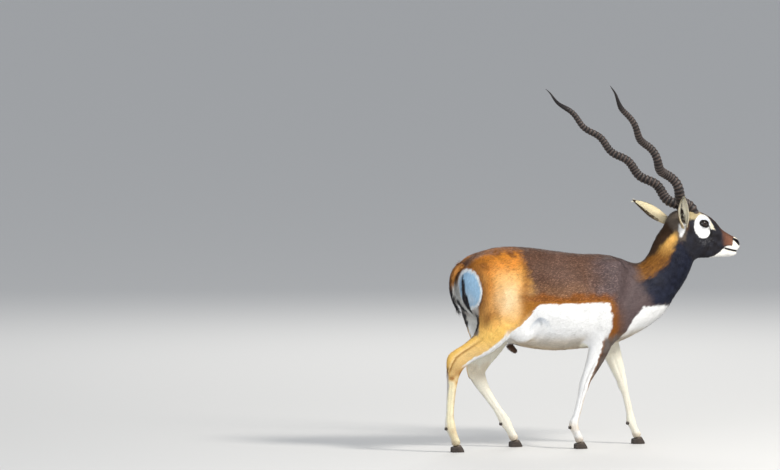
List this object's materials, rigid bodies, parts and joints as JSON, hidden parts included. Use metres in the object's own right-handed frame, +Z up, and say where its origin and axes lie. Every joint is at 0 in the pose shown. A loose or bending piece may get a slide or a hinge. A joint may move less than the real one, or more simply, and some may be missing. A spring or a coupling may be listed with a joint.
{
  "type": "blackbuck",
  "caption": "Life-size walking male blackbuck with ringed, spiralling horns, a dark back, white underside and cloven hoofs, in a still pose.",
  "frame": {"origin": "middle of the bounding box's bottom face, on the floor the hoofs stand on", "axes": "+X towards the head, +Y the animal's left, +Z up"},
  "size_m": [1.2012, 0.559, 1.3693],
  "materials": {
    "dark_coat": "short dark brown to black fur, a little glossy",
    "tan_coat": "short rusty tan fur",
    "pale_coat": "short white to cream fur",
    "horn": "dark ringed horn, satin",
    "hoof": "dark hoof, satin",
    "eye": "dark wet eye"
  },
  "bodies": {
    "root": {"torso": "dark_coat", "neck": "dark_coat", "head": "dark_coat", "eye_right": "eye", "horn_right": "horn", "ear_right": "pale_coat", "eye_left": "eye", "horn_left": "horn", "ear_left": "pale_coat", "tail": "dark_coat", "right_hind_upper": "tan_coat", "right_hind_lower": "pale_coat", "right_hind_hoof_outer": "hoof", "right_hind_hoof_inner": "hoof", "left_hind_upper": "tan_coat", "left_hind_lower": "pale_coat", "left_hind_hoof_inner": "hoof", "left_hind_hoof_outer": "hoof", "right_fore_upper": "tan_coat", "right_fore_lower": "pale_coat", "right_fore_hoof_outer": "hoof", "right_fore_hoof_inner": "hoof", "left_fore_upper": "tan_coat", "left_fore_lower": "pale_coat", "left_fore_hoof_inner": "hoof", "left_fore_hoof_outer": "hoof"}
  },
  "joints": []
}
